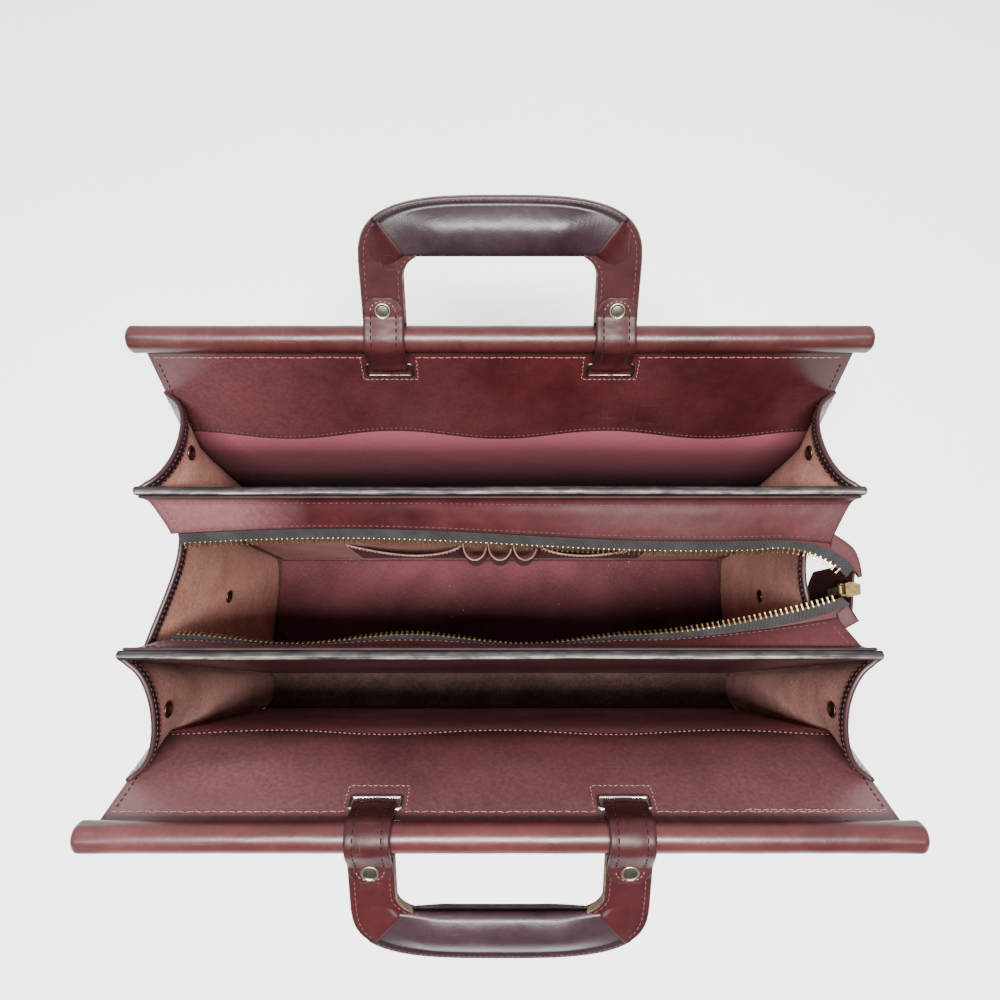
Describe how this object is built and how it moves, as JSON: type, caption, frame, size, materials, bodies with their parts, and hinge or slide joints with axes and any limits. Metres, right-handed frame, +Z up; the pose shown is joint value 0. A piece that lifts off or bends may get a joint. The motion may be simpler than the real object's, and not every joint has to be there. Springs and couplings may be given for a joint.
{
  "type": "open leather briefcase",
  "caption": "Open soft-sided leather briefcase: rod-topped walls with a padded handle each, zipped middle compartment, suede gussets and an organizer.",
  "frame": {"origin": "middle of the base's underside, on the floor plane", "axes": "+X along the rods to the right of the picture, +Y to the back wall, +Z up"},
  "size_m": [0.43, 0.3999, 0.3413],
  "materials": {
    "burgundy_leather": "polished",
    "plum_leather": "polished",
    "suede": "suede",
    "lining_cloth": "woven",
    "fibre_board": "pressed fibre",
    "zip_tape": "woven",
    "brass": "satin",
    "bronze": "aged",
    "steel": "polished",
    "dowel": "plain"
  },
  "bodies": {
    "case": {"base_leather": "burgundy_leather", "base_board": "fibre_board", "base_suede": "suede", "loose_bottom_board": "lining_cloth", "back_divider_leather": "burgundy_leather", "back_divider_board": "fibre_board", "back_divider_lining": "lining_cloth", "back_zip_band": "burgundy_leather", "back_zip_tape": "zip_tape", "back_zip_teeth": "brass", "zip_tail": "burgundy_leather", "slip_pockets": "burgundy_leather", "pen_loops": "burgundy_leather", "back_gusset_left": "suede", "back_gusset_right": "suede", "middle_gusset_left": "suede", "middle_gusset_right": "suede", "back_gusset_snaps": "bronze", "middle_gusset_snaps": "bronze", "front_divider_leather": "burgundy_leather", "front_divider_board": "fibre_board", "front_divider_lining": "lining_cloth", "front_zip_band": "burgundy_leather", "front_zip_tape": "zip_tape", "front_zip_teeth": "brass", "front_gusset_left": "suede", "front_gusset_right": "suede", "front_gusset_snaps": "bronze"},
    "back_wall": {"back_wall_leather": "burgundy_leather", "back_wall_board": "fibre_board", "back_wall_lining": "lining_cloth", "back_wall_band": "burgundy_leather", "back_rod": "dowel", "back_rod_caps": "burgundy_leather", "back_slot_plates": "steel"},
    "front_wall": {"front_wall_leather": "burgundy_leather", "front_wall_board": "fibre_board", "front_wall_lining": "lining_cloth", "front_wall_band": "burgundy_leather", "front_rod": "dowel", "front_rod_caps": "burgundy_leather", "front_slot_plates": "steel"},
    "back_handle": {"back_handle_body": "burgundy_leather", "back_grip_pad": "plum_leather", "back_grip_core": "fibre_board", "back_handle_straps": "burgundy_leather", "back_handle_rivets": "bronze"},
    "front_handle": {"front_handle_body": "burgundy_leather", "front_grip_pad": "plum_leather", "front_grip_core": "fibre_board", "front_handle_straps": "burgundy_leather", "front_handle_rivets": "bronze"},
    "zip_slider": {"zip_slider": "brass"},
    "zip_pull": {"zip_pull": "brass"}
  },
  "joints": [
    {"name": "back_wall_swing", "type": "hinge", "parent": "case", "child": "back_wall", "pos_m": [0, 0.086, 0.0084], "axis": [1, 0, 0], "range_deg": [-4, 12], "deforming": ["back_gusset_left", "back_gusset_right", "back_gusset_snaps"]},
    {"name": "front_wall_swing", "type": "hinge", "parent": "case", "child": "front_wall", "pos_m": [0, -0.086, 0.0084], "axis": [-1, 0, 0], "range_deg": [-8, 10.5], "deforming": ["front_gusset_left", "front_gusset_right", "front_gusset_snaps"]},
    {"name": "back_handle_swing", "type": "hinge", "parent": "back_wall", "child": "back_handle", "pos_m": [0, 0.13892, 0.28923], "axis": [1, 0, 0], "range_deg": [-120, 65], "deforming": ["back_handle_straps"]},
    {"name": "front_handle_swing", "type": "hinge", "parent": "front_wall", "child": "front_handle", "pos_m": [0, -0.13077, 0.2874], "axis": [-1, 0, 0], "range_deg": [-50, 122], "deforming": ["front_handle_straps"]},
    {"name": "zip_slide", "type": "slide", "parent": "case", "child": "zip_slider", "axis": [-1, 0, 0], "range_m": [0, 0.37]},
    {"name": "zip_pull_swing", "type": "hinge", "parent": "zip_slider", "child": "zip_pull", "pos_m": [0.196, -0.0037, 0.262], "axis": [0, 1, 0], "range_deg": [0, 80]}
  ]
}
